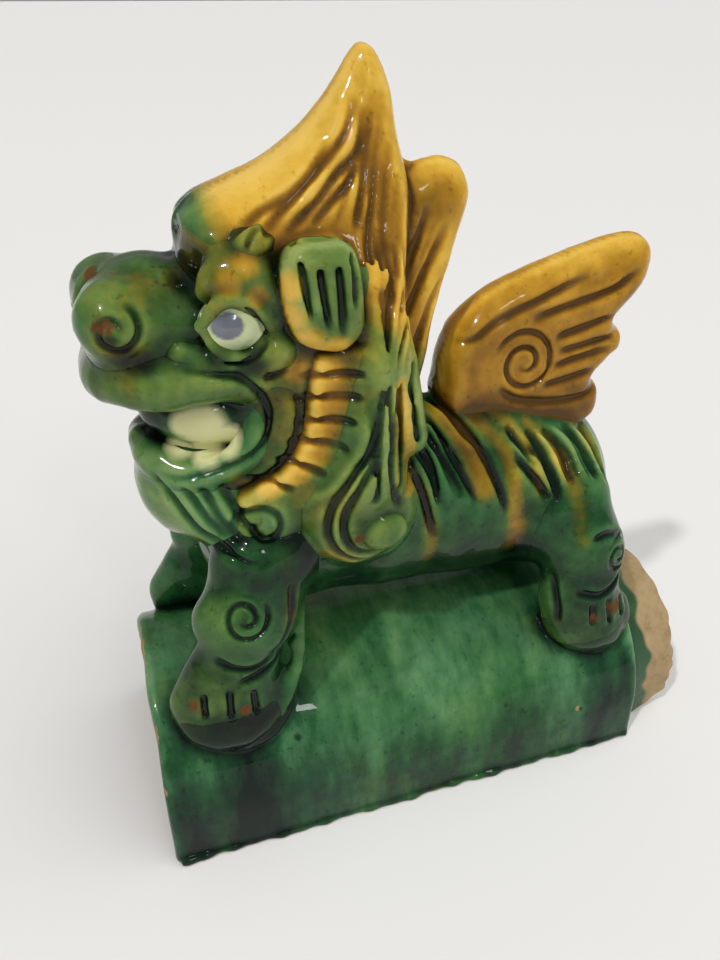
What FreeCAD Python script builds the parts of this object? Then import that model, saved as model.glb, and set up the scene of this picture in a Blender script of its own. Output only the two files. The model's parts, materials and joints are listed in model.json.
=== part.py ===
"""Glazed ridge-tile guardian beast: every clay piece as the potter luted it together.

The beast faces -Y and stands astride a half-round ridge tile. +X is the beast's own
left, +Z is up, and the origin is on the ground under the middle of the whole figure.
All sizes are in millimetres.
"""
import FreeCAD, Part
import Sketcher
import math
import os

from FreeCAD import Placement, Rotation, Vector

doc = FreeCAD.newDocument("ridge_beast")
sheet = doc.addObject("Spreadsheet::Sheet", "Sizes")

# ---------------------------------------------------------------- driving sizes
PLAIN_SIZES = {
    "tile_length": 220,
    "tile_front": -124,
    "tile_half_width": 55,
    "tile_side_height": 21.5,
    "tile_wall": 11,
    "tongue_wall": 10,
    "tongue_reach": 30,
    "tongue_grip": 26,
    "clay_wall": 9,
    "vent_radius": 4,
    "belly_vent_y": 20,
    "belly_vent_low": 70,
    "belly_vent_high": 130,
    "neck_vent_y": -52,
    "neck_vent_low": 125,
    "neck_vent_high": 205,
    "plate_root_z": 110,
    "tip_room": 5,
    "crest_width": 54,
    "crest_tip_width": 13,
    "nape_width": 44,
    "nape_tip_width": 15,
    "plume_width": 24,
    "plume_tip_width": 11,
    "ear_inner_x": 20,
    "ear_depth": 21,
    "frill_inner_x": 10,
    "frill_depth": 27,
    "frill_y": -80,
    "frill_z": 197,
    "frill_outer": 46,
    "frill_inner": 29,
    "frill_low_angle": -100,
    "frill_high_angle": 12,
}

# Egg-shaped pieces: centre x, y, z, half sizes along x, y, z, and turn about Y.
EGGS = {
    "skull": (0, -58, 209, 33, 40, 42, 0),
    "neck": (0, -52, 166, 33, 38, 26, 0),
    "muzzle": (0, -103, 221, 27, 23, 18, 0),
    "upper_lip": (0, -99, 203, 27, 24, 8, 0),
    "lower_jaw": (0, -88, 181, 25, 26, 15, 0),
    "teeth": (0, -89, 192, 24, 22, 7, 0),
    "beard": (0, -90, 153, 25, 23, 24, 0),
    "eyeball": (23, -79, 222, 11, 10.5, 9.5, 0),
    "brow": (23, -76, 235, 10, 15, 6, -12),
    "brow_bud": (21, -82, 243, 6, 6, 5, 0),
    "cheek": (25, -62, 212, 11, 11, 10, 0),
    "jowl": (23, -72, 187, 12, 15, 16, 0),
    "beard_curl": (29, -72, 149, 8, 13, 11, 0),
    "tress": (34, -34, 160, 11, 19, 40, 6),
    "pearl": (42, -30, 142, 6, 8, 7, 0),
    "fore_paw": (41, -90, 62, 17, 25, 14, 45),
    "hind_paw": (39, 70, 63, 15, 21, 13, 43),
}
EGG_FIELDS = ("x", "y", "z", "wide", "long", "high", "turn")
HEAD_EGGS = ("skull", "neck", "muzzle", "upper_lip", "lower_jaw", "teeth", "beard", "eyeball")

# Lofted pieces: each station has its centre x, y, z and two half sizes. Torso stations
# stand across the body (half width, half height); leg stations lie flat (along x, along y).
TORSO_STATIONS = {
    "chest": (0, -97, 124, 9, 11),
    "breast": (0, -88, 125, 24, 25),
    "shoulder": (0, -62, 129, 34, 37),
    "withers": (0, -24, 133, 37, 44),
    "barrel": (0, 16, 129, 36, 44),
    "loin": (0, 51, 123, 37, 40),
    "rump": (0, 77, 118, 31, 34),
    "dock": (0, 88, 113, 21, 23),
    "rear": (0, 93, 110, 9, 10),
}
TORSO_HOLLOW = ("breast", "shoulder", "withers", "barrel", "loin", "rump")
FORELEG_STATIONS = {
    "shoulder": (25, -74, 134, 13, 20),
    "elbow": (31, -79, 114, 16, 20),
    "knee": (35, -84, 97, 14, 20),
    "ankle": (37, -89, 79, 13, 20),
    "sole": (39, -90, 59, 13, 22),
}
HINDLEG_STATIONS = {
    "hip": (24, 66, 134, 10, 20),
    "thigh": (31, 65, 114, 15, 22),
    "knee": (35, 67, 96, 15, 20),
    "hock": (37, 68, 80, 13, 18),
    "sole": (38, 70, 60, 13, 18),
}
STATION_FIELDS = ("x", "y", "z", "first", "second")

# Outlines on the mid-plane: each corner has its y and z, and the radius of the run that
# leaves it, positive where it bulges outwards, negative where it is hollow, 0 if straight.
CREST_FRONT = {
    "forehead": (-90, 238, 16),
    "slope": (-78, 258, -75),
    "tip_front": (-31, 296, 8),
    "tip_back": (-19, 293, -90),
    "notch": (-10, 257, 0),
    "foot": (-10, 214, 0),
    "root": (-84, 214, 0),
}
CREST_REAR = {
    "notch": (-10, 257, 0),
    "tip_front": (-5, 261, 10),
    "tip_back": (12, 254, 60),
    "nape": (8, 214, -120),
    "withers": (-2, 172, 0),
    "root": (-30, 172, 0),
    "foot": (-30, 257, 0),
}
TAIL_PLUME = {
    "root_front": (9, 165, 0),
    "back_line": (9, 178, 42),
    "crook": (30, 215, -90),
    "tip_top": (84, 232, 11),
    "tip_end": (97, 218, -40),
    "lobe_one": (86, 197, 12),
    "lobe_two": (89, 176, 14),
    "lobe_three": (83, 158, 0),
    "root_rear": (76, 140, 0),
    "root_mid": (40, 150, 0),
}
EAR = {
    "heel": (-56, 211, 30),
    "front": (-61, 238, 12),
    "crown": (-52, 247, 40),
    "back": (-33, 246, 40),
    "tail": (-35, 214, 14),
}
OUTLINE_FIELDS = ("y", "z", "bend")


def write_row(row, alias, value):
    """Put one plain number with its alias into the sheet."""
    sheet.set(f"A{row}", alias)
    sheet.set(f"B{row}", str(value))
    sheet.setAlias(f"B{row}", alias)


def all_sizes():
    """Yield every alias and number that the sheet holds."""
    yield from PLAIN_SIZES.items()
    tables = [("", EGGS, EGG_FIELDS)]
    tables += [("torso_", TORSO_STATIONS, STATION_FIELDS)]
    tables += [("foreleg_", FORELEG_STATIONS, STATION_FIELDS)]
    tables += [("hindleg_", HINDLEG_STATIONS, STATION_FIELDS)]
    tables += [("crest_front_", CREST_FRONT, OUTLINE_FIELDS)]
    tables += [("crest_rear_", CREST_REAR, OUTLINE_FIELDS)]
    tables += [("tail_plume_", TAIL_PLUME, OUTLINE_FIELDS)]
    tables += [("ear_", EAR, OUTLINE_FIELDS)]
    for prefix, table, fields in tables:
        for key, numbers in table.items():
            for field, number in zip(fields, numbers):
                yield f"{prefix}{key}_{field}", number


for row_number, (size_name, size_value) in enumerate(all_sizes(), start=1):
    write_row(row_number, size_name, size_value)
doc.recompute()


def size(alias):
    """Read one number back from the sheet."""
    return float(sheet.get(alias))


def bind(obj, **expressions):
    """Bind properties of an object to sheet cells; a double underscore stands for a dot."""
    for name, expression in expressions.items():
        obj.setExpression(name.replace("__", "."), expression)


def bind_place(obj, alias):
    """Bind an object's position to the sheet's x, y and z cells of one name."""
    for axis in "xyz":
        obj.setExpression(f".Placement.Base.{axis}", f"Sizes.{alias}_{axis}")


# ---------------------------------------------------------------- solid makers
def egg(name, wall=0):
    """An ellipsoid of clay; a wall makes it smaller all round, for the hollow inside."""
    suffix = "_hollow" if wall else "_lump"
    solid = doc.addObject("Part::Ellipsoid", name + suffix)
    less = "- Sizes.clay_wall" if wall else ""
    bind(solid, Radius1=f"Sizes.{name}_high {less}")
    bind(solid, Radius2=f"Sizes.{name}_wide {less}")
    bind(solid, Radius3=f"Sizes.{name}_long {less}")
    solid.Placement = Placement(Vector(), Rotation(Vector(0, 1, 0), size(f"{name}_turn")))
    bind_place(solid, name)
    return solid


def station(alias, upright, less):
    """One elliptical section of a loft, its long axis turned the way the section needs."""
    ring = doc.addObject("Part::Ellipse", alias + ("_inner" if less else "_ring"))
    first = f"Sizes.{alias}_first {less}"
    second = f"Sizes.{alias}_second {less}"
    second_is_longer = size(f"{alias}_second") > size(f"{alias}_first")
    long_axis, short_axis = (second, first) if second_is_longer else (first, second)
    bind(ring, MajorRadius=long_axis, MinorRadius=short_axis)
    turn = Rotation(Vector(0, 0, 1), 90 if second_is_longer else 0)
    stand = Rotation(Vector(1, 0, 0), 90 if upright else 0)
    ring.Placement = Placement(Vector(), stand.multiply(turn))
    bind_place(ring, alias)
    return ring


def loft(name, stations, upright, less=""):
    """A smooth solid through elliptical stations."""
    solid = doc.addObject("Part::Loft", name + ("_hollow" if less else "_lump"))
    solid.Sections = [station(f"{name}_{key}", upright, less) for key in stations]
    solid.Solid = True
    return solid


def boolean(kind, name, base, tool):
    """Join, cut or intersect two solids as one document object."""
    result = doc.addObject(f"Part::{kind}", name)
    result.Base = base
    result.Tool = tool
    return result


def trim(name, lump, *neighbours):
    """Cut a lump back to the faces of the pieces that it is pressed against."""
    for neighbour in neighbours:
        lump = boolean("Cut", f"{name}_against_{neighbour.Name}", lump, neighbour)
    lump.Label = name
    return lump


def mirrored(name, source):
    """The same piece on the beast's right side."""
    copy = doc.addObject("Part::Mirroring", name)
    copy.Source = source
    copy.Normal = Vector(1, 0, 0)
    copy.Label = name
    return copy


# ---------------------------------------------------------------- sketches
def new_body(name):
    body = doc.addObject("PartDesign::Body", name)
    body.Label = name
    return body


def sketch_on(body, role):
    """A sketch on one of the body's own origin planes."""
    plane = next(item for item in body.Origin.OriginFeatures if item.Role == role)
    sketch = body.newObject("Sketcher::SketchObject", f"{body.Name}_sketch")
    sketch.AttachmentSupport = (plane, [""])
    sketch.MapMode = "FlatFace"
    return sketch


def arc_between(start, end, radius):
    """A circular arc; a positive radius bulges to the left of the way from start to end."""
    chord = end - start
    half = chord.Length / 2
    away = Vector(-chord.y, chord.x, 0).normalize()
    rise = abs(radius) - math.sqrt(radius * radius - half * half)
    middle = (start + end) / 2 + away * math.copysign(rise, radius)
    return Part.Arc(start, middle, end)


def draw_outline(sketch, prefix, corners):
    """Draw a closed outline through named corners and tie each corner to the sheet."""
    names = list(corners)
    points = [Vector(size(f"{prefix}_{key}_y"), size(f"{prefix}_{key}_z"), 0) for key in names]
    for index, key in enumerate(names):
        start = points[index]
        end = points[(index + 1) % len(points)]
        bend = size(f"{prefix}_{key}_bend")
        edge = arc_between(start, end, bend) if bend else Part.LineSegment(start, end)
        sketch.addGeometry(edge, False)
    tie_outline(sketch, prefix, names)


def corner_vertex(sketch, edge, spot):
    """The end of an edge that lies on a corner: 1 for its first end, 2 for its second."""
    first = sketch.getPoint(edge, 1)
    return 1 if first.distanceToPoint(spot) < 1e-6 else 2


def tie_outline(sketch, prefix, names):
    """Join the runs of an outline and bind every corner and every bend to the sheet."""
    count = len(names)
    for index, key in enumerate(names):
        spot = Vector(size(f"{prefix}_{key}_y"), size(f"{prefix}_{key}_z"), 0)
        before = (index - 1) % count
        here = corner_vertex(sketch, index, spot)
        there = corner_vertex(sketch, before, spot)
        sketch.addConstraint(Sketcher.Constraint("Coincident", before, there, index, here))
        for kind, field, value in (("DistanceX", "y", spot.x), ("DistanceY", "z", spot.y)):
            tie = sketch.addConstraint(Sketcher.Constraint(kind, -1, 1, index, here, value))
            sketch.setExpression(f"Constraints[{tie}]", f"Sizes.{prefix}_{key}_{field}")
    for index, key in enumerate(names):
        bend = size(f"{prefix}_{key}_bend")
        if bend:
            tie = sketch.addConstraint(Sketcher.Constraint("Radius", index, abs(bend)))
            sketch.setExpression(f"Constraints[{tie}]", f"abs(Sizes.{prefix}_{key}_bend)")


def pad_sketch(body, sketch, length, both_ways):
    """Extrude a sketch by a length from the sheet."""
    pad = body.newObject("PartDesign::Pad", f"{body.Name}_pad")
    pad.Profile = sketch
    pad.Midplane = both_ways
    pad.setExpression("Length", length)
    return pad


def tapered_plate(name, corners, prefix, width, tip_width, top):
    """A mid-plane plate with a drawn outline, thick at its root and thin at its top."""
    body = new_body(f"{name}_plate")
    sketch = sketch_on(body, "YZ_Plane")
    draw_outline(sketch, prefix, corners)
    pad_sketch(body, sketch, f"Sizes.{width}", True)
    wedge = doc.addObject("Part::Wedge", f"{name}_taper")
    bind(wedge, Xmin=f"-Sizes.{width} / 2", Xmax=f"Sizes.{width} / 2")
    bind(wedge, X2min=f"-Sizes.{tip_width} / 2", X2max=f"Sizes.{tip_width} / 2")
    bind(wedge, Ymin="Sizes.plate_root_z", Ymax=f"Sizes.{top} + Sizes.tip_room")
    bind(wedge, Zmin="Sizes.tile_front", Zmax="-Sizes.tile_front")
    bind(wedge, Z2min="Sizes.tile_front", Z2max="-Sizes.tile_front")
    wedge.Placement = Placement(Vector(), Rotation(Vector(1, 0, 0), 90))
    return boolean("Common", f"{name}_lump", body, wedge)


# ---------------------------------------------------------------- the ridge tile
def arch_body(name, inset, start, length):
    """A solid stilted arch along Y: a half circle on two short upright sides."""
    body = new_body(name)
    sketch = sketch_on(body, "XZ_Plane")
    half = size("tile_half_width")
    side = size("tile_side_height")
    left_foot, left_spring = Vector(-half, 0, 0), Vector(-half, side, 0)
    right_foot, right_spring = Vector(half, 0, 0), Vector(half, side, 0)
    crown = Vector(0, side + half, 0)
    sketch.addGeometry(Part.LineSegment(right_foot, right_spring), False)
    sketch.addGeometry(Part.Arc(right_spring, crown, left_spring), False)
    sketch.addGeometry(Part.LineSegment(left_spring, left_foot), False)
    sketch.addGeometry(Part.LineSegment(left_foot, right_foot), False)
    for first, second in ((0, 1), (1, 2), (2, 3), (3, 0)):
        sketch.addConstraint(Sketcher.Constraint("Coincident", first, 2, second, 1))
    sketch.addConstraint(Sketcher.Constraint("Vertical", 0))
    sketch.addConstraint(Sketcher.Constraint("Vertical", 2))
    sketch.addConstraint(Sketcher.Constraint("PointOnObject", 0, 1, -1))
    sketch.addConstraint(Sketcher.Constraint("PointOnObject", 2, 2, -1))
    sketch.addConstraint(Sketcher.Constraint("PointOnObject", 1, 3, -2))
    width = sketch.addConstraint(Sketcher.Constraint("DistanceX", -1, 1, 0, 1, half))
    sketch.setExpression(f"Constraints[{width}]", f"Sizes.tile_half_width - ({inset})")
    for edge, end in ((0, 2), (1, 3), (2, 1)):
        rise = sketch.addConstraint(Sketcher.Constraint("DistanceY", -1, 1, edge, end, side))
        sketch.setExpression(f"Constraints[{rise}]", "Sizes.tile_side_height")
    pad = pad_sketch(body, sketch, length, False)
    pad.Reversed = True
    body.setExpression(".Placement.Base.y", start)
    return body


def make_tile():
    """The tile shell and the tongue luted inside its rear end; returns the tile's outside."""
    front = "Sizes.tile_front"
    outside = arch_body("tile_outside", "0", front, "Sizes.tile_length")
    bore = arch_body("tile_bore", "Sizes.tile_wall", front, "Sizes.tile_length")
    tile = boolean("Cut", "ridge_tile", outside, bore)
    tongue_start = "Sizes.tile_front + Sizes.tile_length - Sizes.tongue_grip"
    tongue_length = "Sizes.tongue_grip + Sizes.tongue_reach"
    tongue_inset = "Sizes.tile_wall + Sizes.tongue_wall"
    sleeve = arch_body("tongue_outside", "Sizes.tile_wall", tongue_start, tongue_length)
    throat = arch_body("tongue_bore", tongue_inset, tongue_start, tongue_length)
    tongue = boolean("Cut", "tile_tongue", sleeve, throat)
    return outside, [tile, tongue]


# ---------------------------------------------------------------- body and head
def vent(name, y_cell, low_cell, high_cell):
    """An upright air passage on the mid-plane, so that no hollow is sealed in the kiln."""
    passage = doc.addObject("Part::Cylinder", name)
    bind(passage, Radius="Sizes.vent_radius", Height=f"Sizes.{high_cell} - Sizes.{low_cell}")
    passage.setExpression(".Placement.Base.y", f"Sizes.{y_cell}")
    passage.setExpression(".Placement.Base.z", f"Sizes.{low_cell}")
    return passage


def left_half(name, solid):
    """The part of a solid on the beast's own left of the mid-plane."""
    half_space = doc.addObject("Part::Box", f"{name}_side")
    bind(half_space, Length="-Sizes.tile_front", Width="-2 * Sizes.tile_front")
    bind(half_space, Height="-2 * Sizes.tile_front")
    half_space.setExpression(".Placement.Base.y", "Sizes.tile_front")
    return boolean("Common", name, solid, half_space)


def make_torso(neck_vent):
    """The barrel of the body, pressed in two halves that meet on the mid-plane."""
    outside = loft("torso", TORSO_STATIONS, upright=True)
    hollow = loft("torso", TORSO_HOLLOW, upright=True, less="- Sizes.clay_wall")
    shell = boolean("Cut", "torso_shell", outside, hollow)
    vented = boolean("Cut", "torso_neck_vented", shell, neck_vent)
    belly_vent = vent("belly_vent", "belly_vent_y", "belly_vent_low", "belly_vent_high")
    open_shell = boolean("Cut", "torso_vented", vented, belly_vent)
    left = left_half("torso_left", open_shell)
    return outside, [left, mirrored("torso_right", left)]


def make_head(torso, neck_vent):
    """Skull, neck and the lumps of the face on the mid-plane."""
    lumps = {name: egg(name) for name in HEAD_EGGS}
    skull_hollow = egg("skull", wall=1)
    eyes = eye_pair(lumps["eyeball"])
    skull = trim("skull", lumps["skull"], skull_hollow, neck_vent, torso, *eyes)
    neck = trim("neck", lumps["neck"], lumps["skull"], torso, neck_vent)
    muzzle = trim("muzzle", lumps["muzzle"], lumps["skull"])
    lip = trim("upper_lip", lumps["upper_lip"], lumps["muzzle"], lumps["skull"])
    jaw_lump = lumps["lower_jaw"]
    jaw = trim("lower_jaw", jaw_lump, lumps["skull"], lumps["neck"], lumps["upper_lip"])
    teeth_rests = (lumps["skull"], lumps["upper_lip"], jaw_lump, lumps["neck"])
    teeth = trim("teeth", lumps["teeth"], *teeth_rests)
    beard = trim("beard", lumps["beard"], jaw_lump, lumps["neck"], torso, lumps["skull"])
    return lumps, eyes, [skull, neck, muzzle, lip, jaw, teeth, beard]


def eye_pair(eye_lump):
    """The two eyeballs, whole eggs pressed into sockets in the skull."""
    eye_lump.Label = "eyeball_left"
    return [eye_lump, mirrored("eyeball_right", eye_lump)]


def make_crest(skull, neck, torso):
    """The tall flame lock on the forehead and the second lock down the nape."""
    front_top = "crest_front_tip_front_z"
    rear_top = "crest_rear_tip_front_z"
    front_lump = tapered_plate(
        "crest_front", CREST_FRONT, "crest_front", "crest_width", "crest_tip_width", front_top
    )
    rear_lump = tapered_plate(
        "crest_rear", CREST_REAR, "crest_rear", "nape_width", "nape_tip_width", rear_top
    )
    front = trim("crest_front", front_lump, skull)
    rear = trim("crest_rear", rear_lump, front_lump, skull, neck, torso)
    return front_lump, rear_lump, [front, rear]


def make_plume(torso):
    """The wing-like tail that stands on the back."""
    top = "tail_plume_tip_top_z"
    lump = tapered_plate(
        "tail_plume", TAIL_PLUME, "tail_plume", "plume_width", "plume_tip_width", top
    )
    return trim("tail_plume", lump, torso)


def ear_lump():
    """One ear: a thick leaf of clay standing on the side of the head."""
    body = new_body("ear_plate")
    sketch = sketch_on(body, "YZ_Plane")
    draw_outline(sketch, "ear", EAR)
    pad_sketch(body, sketch, "Sizes.ear_depth", False)
    body.setExpression(".Placement.Base.x", "Sizes.ear_inner_x")
    return body


def frill_lump():
    """The ribbed jaw frill: part of a flat ring round the corner of the mouth."""
    body = new_body("frill_plate")
    sketch = sketch_on(body, "YZ_Plane")
    low, high = (math.radians(size(f"frill_{end}_angle")) for end in ("low", "high"))
    rings = [Part.Circle(Vector(), Vector(0, 0, 1), size(f"frill_{rim}"))
             for rim in ("outer", "inner")]
    for ring in rings:
        sketch.addGeometry(Part.ArcOfCircle(ring, low, high), False)
    for angle in (low, high):
        near, far = (ring.Radius * Vector(math.cos(angle), math.sin(angle), 0) for ring in rings)
        sketch.addGeometry(Part.LineSegment(near, far), False)
    for arc, name in ((0, "outer"), (1, "inner")):
        sketch.addConstraint(Sketcher.Constraint("Coincident", arc, 3, -1, 1))
        tie = sketch.addConstraint(Sketcher.Constraint("Radius", arc, size(f"frill_{name}")))
        sketch.setExpression(f"Constraints[{tie}]", f"Sizes.frill_{name}")
    for line, arc_end in ((2, 1), (3, 2)):
        sketch.addConstraint(Sketcher.Constraint("Coincident", line, 1, 0, arc_end))
        sketch.addConstraint(Sketcher.Constraint("Coincident", line, 2, 1, arc_end))
    pad_sketch(body, sketch, "Sizes.frill_depth", False)
    body.setExpression(".Placement.Base.x", "Sizes.frill_inner_x")
    body.setExpression(".Placement.Base.y", "Sizes.frill_y")
    body.setExpression(".Placement.Base.z", "Sizes.frill_z")
    return body


def make_left_face(face, eyes, torso, crest_front, crest_rear):
    """The smaller lumps of the face and mane on the beast's left side, and the two of them
    that the foreleg is pressed against."""
    skull, neck = face["skull"], face["neck"]
    head = (skull, neck, torso)
    crests = (crest_front, crest_rear)
    names = ("brow", "brow_bud", "cheek", "jowl", "beard_curl", "tress", "pearl")
    lump = {name: egg(name) for name in names}
    ear = ear_lump()
    frill = frill_lump()
    jaw = (face["lower_jaw"], face["upper_lip"], face["beard"])
    eye = eyes[0]
    pieces = [
        trim("brow_left", lump["brow"], skull, eye, crest_front),
        trim("brow_bud_left", lump["brow_bud"], skull, lump["brow"], crest_front),
        trim("cheek_left", lump["cheek"], skull, eye),
        trim("jowl_left", lump["jowl"], neck, skull, *jaw, lump["cheek"]),
        trim("ear_left", ear, skull, lump["cheek"], *crests),
        trim("jaw_frill_left", frill, *head, *jaw, lump["jowl"], ear, lump["cheek"], *crests),
        trim("beard_curl_left", lump["beard_curl"], *head, *jaw, frill, lump["jowl"]),
        trim("tress_left", lump["tress"], *head, frill, crest_rear, lump["pearl"]),
        trim("pearl_left", lump["pearl"], torso),
    ]
    return pieces, (lump["tress"], lump["beard_curl"])


def make_left_legs(torso, tile, foreleg_rests):
    """Foreleg and hind leg with their paws, standing on the flank of the tile."""
    pieces = []
    for leg, stations, paw in (
        ("foreleg", FORELEG_STATIONS, "fore_paw"),
        ("hindleg", HINDLEG_STATIONS, "hind_paw"),
    ):
        paw_lump = egg(paw)
        leg_lump = loft(leg, stations, upright=False)
        rests = [torso, tile, paw_lump]
        if leg == "foreleg":
            rests += foreleg_rests
        pieces.append(trim(f"{leg}_left", leg_lump, *rests))
        pieces.append(trim(f"{paw}_left", paw_lump, tile))
    return pieces


# ---------------------------------------------------------------- putting it together
def make_beast():
    """Build every piece and return the list of those that get a file."""
    tile_outside, tile_pieces = make_tile()
    neck_vent = vent("neck_vent", "neck_vent_y", "neck_vent_low", "neck_vent_high")
    torso, torso_pieces = make_torso(neck_vent)
    face, eyes, face_pieces = make_head(torso, neck_vent)
    crest_front, crest_rear, crest_pieces = make_crest(face["skull"], face["neck"], torso)
    plume = make_plume(torso)
    left_face, foreleg_rests = make_left_face(face, eyes, torso, crest_front, crest_rear)
    left_pieces = left_face + make_left_legs(torso, tile_outside, foreleg_rests)
    right_pieces = [mirrored(piece.Label.replace("_left", "_right"), piece)
                    for piece in left_pieces]
    middle = tile_pieces + torso_pieces + face_pieces + eyes + crest_pieces + [plume]
    return middle + left_pieces + right_pieces


def check(pieces):
    """Stop if any object failed to build or any piece isn't one sound solid."""
    for obj in doc.Objects:
        if "Invalid" in obj.State or "Error" in obj.State:
            raise RuntimeError(f"{obj.Name} failed: {obj.State}")
    for piece in pieces:
        shape = piece.Shape
        if shape.isNull() or not shape.isValid():
            raise RuntimeError(f"{piece.Label} has no valid shape")
        if len(shape.Solids) != 1:
            volumes = [round(solid.Volume) for solid in shape.Solids]
            raise RuntimeError(f"{piece.Label} is not one solid: {volumes}")
        print(f"{piece.Label:18s} {shape.Volume / 1000:8.1f} cm3")


pieces_made = make_beast()
doc.recompute()
check(pieces_made)
os.makedirs("parts", exist_ok=True)
for made in pieces_made:
    made.Shape.exportStep(f"parts/{made.Label}.step")
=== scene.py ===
"""Looks of the glazed ridge-tile beast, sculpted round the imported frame.

The clay is worked out as one signed distance field in millimetres, measured from the
middle of the tile's front end: x to the beast's left, y towards the tail, z up.
Lumps melt into each other as wet clay does, grooves and ridges are drawn on the skin,
and each lump is then cut out as a closed piece of its own that stands for its node.
"""
import json
import math

import bpy
import numpy as np
import openvdb
from mathutils import Euler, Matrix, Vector


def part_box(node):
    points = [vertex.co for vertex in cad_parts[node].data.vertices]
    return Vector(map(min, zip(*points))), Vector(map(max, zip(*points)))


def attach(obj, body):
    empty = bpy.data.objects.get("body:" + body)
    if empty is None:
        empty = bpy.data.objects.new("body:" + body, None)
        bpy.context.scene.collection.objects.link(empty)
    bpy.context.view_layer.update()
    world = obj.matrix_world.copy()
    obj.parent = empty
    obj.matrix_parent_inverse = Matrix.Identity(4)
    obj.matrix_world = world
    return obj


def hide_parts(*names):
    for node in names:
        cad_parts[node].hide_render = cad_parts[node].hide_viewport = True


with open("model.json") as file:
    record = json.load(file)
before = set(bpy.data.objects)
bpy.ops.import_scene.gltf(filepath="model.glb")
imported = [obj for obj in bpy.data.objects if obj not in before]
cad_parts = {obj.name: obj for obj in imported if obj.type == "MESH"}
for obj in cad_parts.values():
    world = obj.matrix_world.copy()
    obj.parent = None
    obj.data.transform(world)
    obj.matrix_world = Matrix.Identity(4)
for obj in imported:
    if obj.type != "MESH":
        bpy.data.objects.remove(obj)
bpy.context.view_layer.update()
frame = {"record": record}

# ---------------- the grid of clay
STEP = 0.8
MIRROR_CELLS = 4
LOW = np.array((-MIRROR_CELLS * STEP, -12.0, -3.0))
HIGH = np.array((64.0, 258.0, 305.0))
COUNTS = np.ceil((HIGH - LOW) / STEP).astype(int) + 1
AXES = [(LOW[i] + STEP * np.arange(COUNTS[i])).astype(np.float32) for i in range(3)]
FAR = 40.0
MM = 0.001
TILE_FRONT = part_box("ridge_tile")[0][1]


def window(low, high):
    """Slices of the grid that cover a box."""
    first = np.clip(np.floor((np.asarray(low) - LOW) / STEP).astype(int), 0, COUNTS - 2)
    last = np.clip(np.ceil((np.asarray(high) - LOW) / STEP).astype(int) + 1, first + 2, COUNTS)
    return tuple(slice(a, b) for a, b in zip(first, last))


def axes_of(where):
    """Open coordinate arrays of a window."""
    x, y, z = (AXES[i][where[i]] for i in range(3))
    return x[:, None, None], y[None, :, None], z[None, None, :]


def melt(a, b, soft):
    """Union of two distances, rounded where they meet."""
    near = np.maximum(soft - np.abs(a - b), 0.0)
    return np.minimum(a, b) - near * near / (4.0 * soft)


def near_segment(x, y, z, start, way):
    """Nearest place along a segment, from nought to one, and the squared distance to it."""
    part = (x - start[0]) * way[0] + (y - start[1]) * way[1] + (z - start[2]) * way[2]
    part = np.clip(part / max(way @ way, 1e-6), 0.0, 1.0)
    square = (np.square(x - start[0] - part * way[0]) + np.square(y - start[1] - part * way[1])
              + np.square(z - start[2] - part * way[2]))
    return part, square


# ---------------- shapes
class Egg:
    """An ellipsoid, turned by Euler angles in degrees."""

    def __init__(self, at, size, turn=(0, 0, 0)):
        self.at = at
        self.size = size
        self.spin = np.array(Euler([math.radians(a) for a in turn]).to_matrix())
        reach = max(size)
        self.low = [c - reach for c in at]
        self.high = [c + reach for c in at]

    def distance(self, x, y, z):
        local = (x - self.at[0], y - self.at[1], z - self.at[2])
        first = second = 0.0
        for axis in range(3):
            along = sum(local[i] * np.float32(self.spin[i][axis]) for i in range(3))
            first = first + np.square(along / self.size[axis])
            second = second + np.square(along / self.size[axis] ** 2)
        first = np.sqrt(first)
        return first * (first - 1.0) / np.maximum(np.sqrt(second), 1e-4)


class Rope:
    """A round rope through points, each with its own radius."""

    def __init__(self, points, radii):
        track = smooth_line(np.column_stack((points, radii)), pieces=3)
        self.points, self.radii = track[:, :3], track[:, 3]
        reach = self.radii.max()
        self.low = self.points.min(axis=0) - reach
        self.high = self.points.max(axis=0) + reach

    def distance(self, x, y, z):
        best = None
        for i in range(len(self.points) - 1):
            part, square = near_segment(x, y, z, self.points[i], self.points[i + 1] - self.points[i])
            gap = np.sqrt(square) - (self.radii[i] + part * (self.radii[i + 1] - self.radii[i]))
            best = gap if best is None else np.minimum(best, gap)
        return best


def smooth_line(points, closed=False, pieces=8):
    """A smooth curve through points, as a denser list of points."""
    points = np.array(points, dtype=float)
    if closed:
        points = np.vstack((points[-1:], points, points[:2]))
    else:
        points = np.vstack((2 * points[:1] - points[1:2], points, 2 * points[-1:] - points[-2:-1]))
    t = np.linspace(0.0, 1.0, pieces, endpoint=False)[:, None]
    curve = []
    for a, b, c, d in zip(points, points[1:], points[2:], points[3:]):
        curve.append(0.5 * (2 * b + (c - a) * t + (2 * a - 5 * b + 4 * c - d) * t * t
                            + (3 * b - a - 3 * c + d) * t ** 3))
    curve = np.vstack(curve)
    return curve if closed else np.vstack((curve, points[-2:-1]))


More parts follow.
